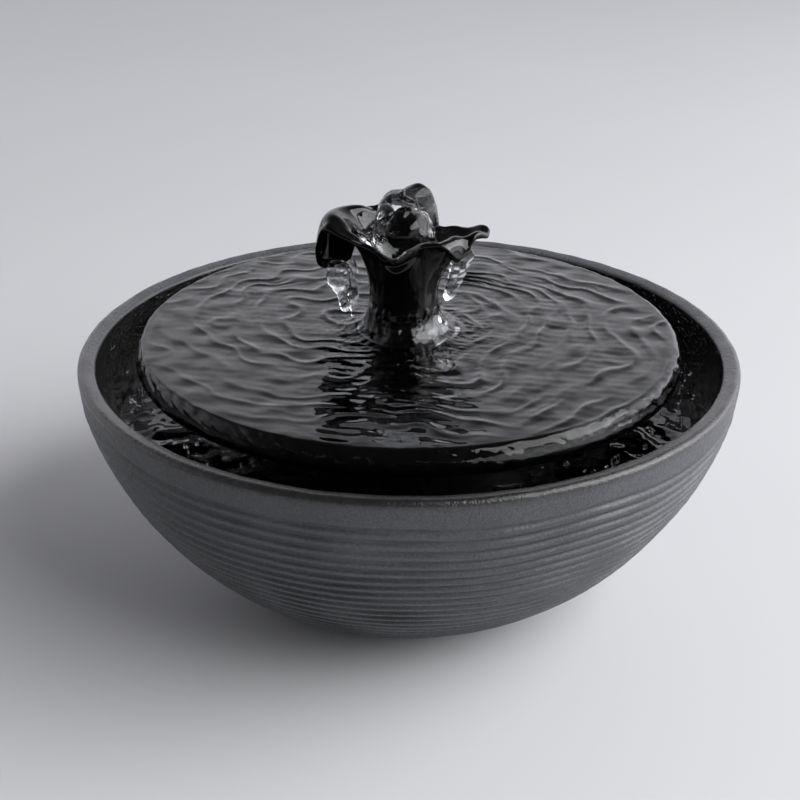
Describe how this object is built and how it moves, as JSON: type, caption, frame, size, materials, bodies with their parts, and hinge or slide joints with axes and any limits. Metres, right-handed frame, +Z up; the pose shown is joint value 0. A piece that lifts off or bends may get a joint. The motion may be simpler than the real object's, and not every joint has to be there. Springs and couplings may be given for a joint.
{
  "type": "tabletop water fountain",
  "caption": "Round stoneware bowl with a black plate and flower-shaped spout inside its rim, over a small submersible pump.",
  "frame": {"origin": "on the table under the bowl's centre", "axes": "+Z up, +Y towards the back, where the supply socket is, +X to the viewer's right"},
  "size_m": [0.26, 0.26, 0.1556],
  "materials": {
    "stoneware": "matt sandy charcoal, ribbed outside",
    "silicone_black": "matt",
    "stand_glaze": "satin glaze",
    "silicone_grey": "translucent matt",
    "black_glaze": "high gloss, wet",
    "spout_glaze": "high gloss, wet",
    "silicone_clear": "milky translucent",
    "pump_plastic": "fine moulded grain",
    "screw_steel": "stainless",
    "board": "solder mask",
    "lamination": "stacked sheets",
    "copper": "enamelled winding",
    "shaft_ceramic": "polished",
    "seal_red": "satin",
    "ferrite": "ground grey",
    "impeller_plastic": "natural white",
    "sponge": "open foam",
    "dial_plastic": "light grey",
    "socket_plastic": "black",
    "contact_brass": "bright",
    "nut_metal": "nickel plated",
    "lead_jacket": "satin"
  },
  "bodies": {
    "root": {"bowl": "stoneware", "foot_pads": "silicone_black", "inlet_socket": "socket_plastic", "inlet_pin": "contact_brass", "inlet_gasket": "silicone_black", "inlet_nut": "nut_metal", "socket_boot": "silicone_black", "pump_lead": "lead_jacket", "lead_gland": "silicone_black", "pump_housing": "pump_plastic", "pump_rear_cover": "pump_plastic", "cover_screws": "screw_steel", "drive_board": "board", "pump_core": "lamination", "pump_coil": "copper", "shaft_bushes": "silicone_black", "rotor_shaft": "shaft_ceramic", "pump_seal": "seal_red", "volute_cover": "pump_plastic", "suction_cups": "silicone_clear", "outlet_tube": "silicone_clear"},
    "stand": {"plate_stand": "stand_glaze", "stand_bumpers": "silicone_grey"},
    "plate": {"plate": "black_glaze", "spout_gasket": "silicone_black"},
    "spout": {"spout": "spout_glaze"},
    "rotor": {"rotor_magnet": "ferrite", "impeller": "impeller_plastic"},
    "grille": {"intake_grille": "pump_plastic", "filter_sponge": "sponge"},
    "dial": {"flow_dial": "dial_plastic"}
  },
  "joints": [
    {"name": "impeller_spin", "type": "hinge", "parent": "root", "child": "rotor", "pos_m": [0, 0, 0.032], "axis": [0, 1, 0], "continuous": true},
    {"name": "stand_lift", "type": "slide", "parent": "root", "child": "stand", "axis": [0, 0, 1], "range_m": [0, 0.11]},
    {"name": "plate_lift", "type": "slide", "parent": "stand", "child": "plate", "axis": [0, 0, 1], "range_m": [0, 0.05]},
    {"name": "spout_lift", "type": "slide", "parent": "plate", "child": "spout", "axis": [0, 0, 1], "range_m": [0, 0.04]},
    {"name": "grille_pull", "type": "slide", "parent": "root", "child": "grille", "axis": [0, -1, 0], "range_m": [0, 0.025]},
    {"name": "dial_turn", "type": "hinge", "parent": "grille", "child": "dial", "pos_m": [0, -0.0211, 0.032], "axis": [0, -1, 0], "range_deg": [0, 90]}
  ]
}
